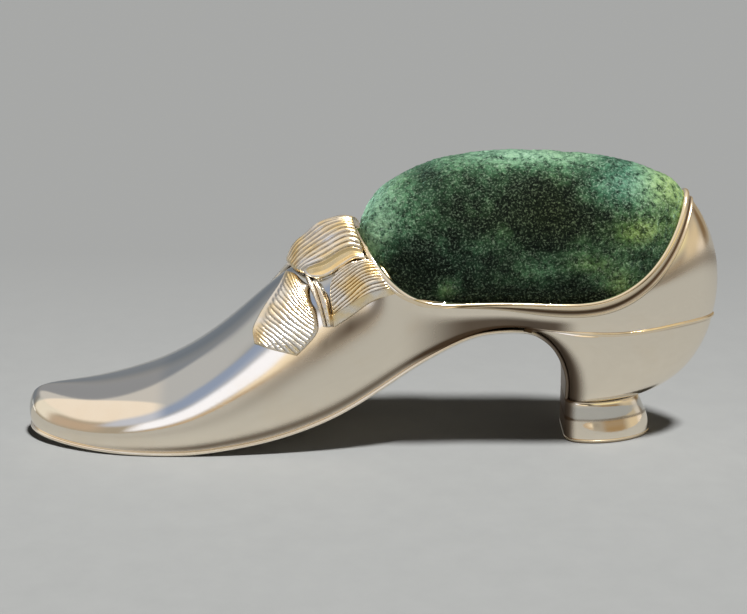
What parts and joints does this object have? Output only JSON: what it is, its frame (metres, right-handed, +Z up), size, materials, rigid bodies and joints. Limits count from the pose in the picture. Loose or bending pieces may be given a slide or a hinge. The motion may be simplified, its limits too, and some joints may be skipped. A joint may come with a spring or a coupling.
{
  "type": "shoe pincushion",
  "caption": "Small silver heeled court shoe with a ribbed ribbon bow and a domed green velvet pad that holds hat pins.",
  "frame": {"origin": "middle of the shoe's length and width, on the table that it stands on", "axes": "+X from the toe to the heel, +Y to the right side of the shoe, +Z up"},
  "size_m": [0.129, 0.027, 0.0546],
  "materials": {
    "silver": "polished silver with a faint warm tone and fine handling scratches",
    "bow_silver": "silver chased with fine ribs, bright on the ridges and darker in the grooves",
    "pitch": "dull dark pitch, out of sight",
    "velvet": "deep green silk velvet, crushed pile with a pale sheen at its edges",
    "wool": "packed wool, out of sight",
    "card": "plain dull mill board",
    "thread": "waxed linen thread"
  },
  "bodies": {
    "shoe": {"upper_left": "silver", "upper_right": "silver", "sole_plate": "silver", "heel_left": "silver", "heel_right": "silver", "heel_foot": "silver", "heel_tip_plate": "silver", "heel_filling": "pitch", "rim_wire": "silver", "bow_knot": "bow_silver", "bow_loop_left": "bow_silver", "bow_loop_right": "bow_silver", "bow_tail_left": "bow_silver", "bow_tail_right": "bow_silver"},
    "cushion": {"velvet_cover": "velvet", "stuffing": "wool", "cushion_board": "card", "gathering_thread": "thread"}
  },
  "joints": [
    {"name": "cushion_lift", "type": "slide", "parent": "shoe", "child": "cushion", "axis": [0, 0, 1], "range_m": [0, 0.025]}
  ]
}
